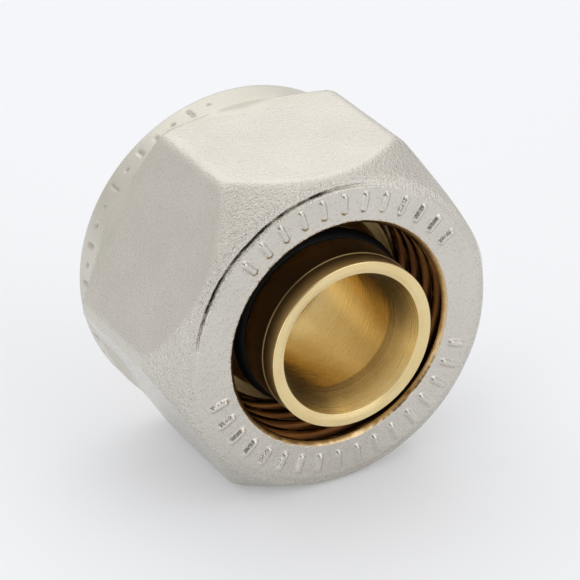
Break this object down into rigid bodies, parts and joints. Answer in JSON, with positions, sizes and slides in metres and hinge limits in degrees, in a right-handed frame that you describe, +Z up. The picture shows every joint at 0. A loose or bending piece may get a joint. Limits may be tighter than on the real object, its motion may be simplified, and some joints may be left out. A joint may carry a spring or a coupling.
{
  "type": "eurocone compression fitting",
  "caption": "Compression fitting for multilayer pipe: a hexagon union nut with a female thread over a turned insert with a cone seal, clamped by a split ring.",
  "frame": {"origin": "on the nut's axis, in the plane of its mouth face", "axes": "+Y along the axis from the mouth to the pipe side, +Z up through the middle of the top flat, +X towards a ridge of the hexagon"},
  "size_m": [0.0306, 0.0211, 0.0278],
  "materials": {
    "nickel_plate": "blasted forging in brass, nickel plated",
    "turned_brass": "turned, bare",
    "ring_brass": "turned and slit, bare",
    "seal_rubber": "smooth, moulded",
    "washer_plastic": "smooth"
  },
  "bodies": {
    "nut": {"nut": "nickel_plate"},
    "ring": {"split_ring": "ring_brass"},
    "insert": {"insert": "turned_brass", "cone_seal": "seal_rubber", "stem_seal_front": "seal_rubber", "stem_seal_rear": "seal_rubber", "dielectric_washer": "washer_plastic"}
  },
  "joints": [
    {"name": "nut_swivel", "type": "hinge", "parent": "nut", "child": "ring", "pos_m": [0, 0.012, 0], "axis": [0, -1, 0], "continuous": true},
    {"name": "insert_slide", "type": "slide", "parent": "ring", "child": "insert", "axis": [0, -1, 0], "range_m": [0, 0.018]}
  ]
}
